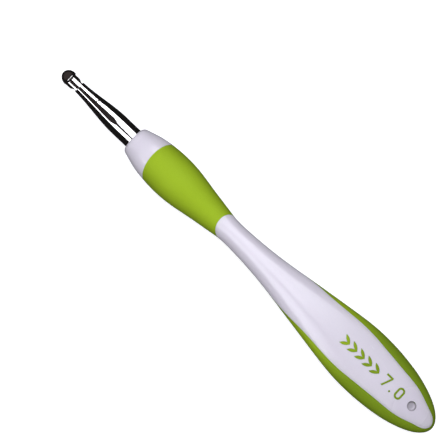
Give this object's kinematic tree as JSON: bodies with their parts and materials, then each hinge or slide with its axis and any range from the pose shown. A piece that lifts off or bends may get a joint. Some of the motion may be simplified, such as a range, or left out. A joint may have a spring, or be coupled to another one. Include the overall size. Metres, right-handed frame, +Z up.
{
  "type": "crochet hook",
  "caption": "Ergonomic crochet hook: polished metal hook moulded into a hard plastic handle with a long top panel and a soft overmoulded grip.",
  "frame": {"origin": "centre of the tool's bounding box in X and Y, at the level of the bench that it rests on", "axes": "+X along the tool towards the hook's tip, +Z up, out of the panel and the hook's mouth; the tool lies on its bulb and tail, so the shaft dips 3.10 degrees towards its tip"},
  "size_m": [0.1664, 0.0216, 0.0144],
  "materials": {
    "polished_metal": "mirror polished",
    "hard_plastic": "gloss",
    "soft_plastic": "satin"
  },
  "bodies": {
    "root": {"hook": "polished_metal", "handle_core": "hard_plastic", "soft_grip": "soft_plastic", "stitch_1": "soft_plastic", "stitch_2": "soft_plastic", "stitch_3": "soft_plastic", "stitch_4": "soft_plastic", "stitch_5": "soft_plastic", "size_seven": "soft_plastic", "size_point": "soft_plastic", "size_zero": "soft_plastic"}
  },
  "joints": []
}
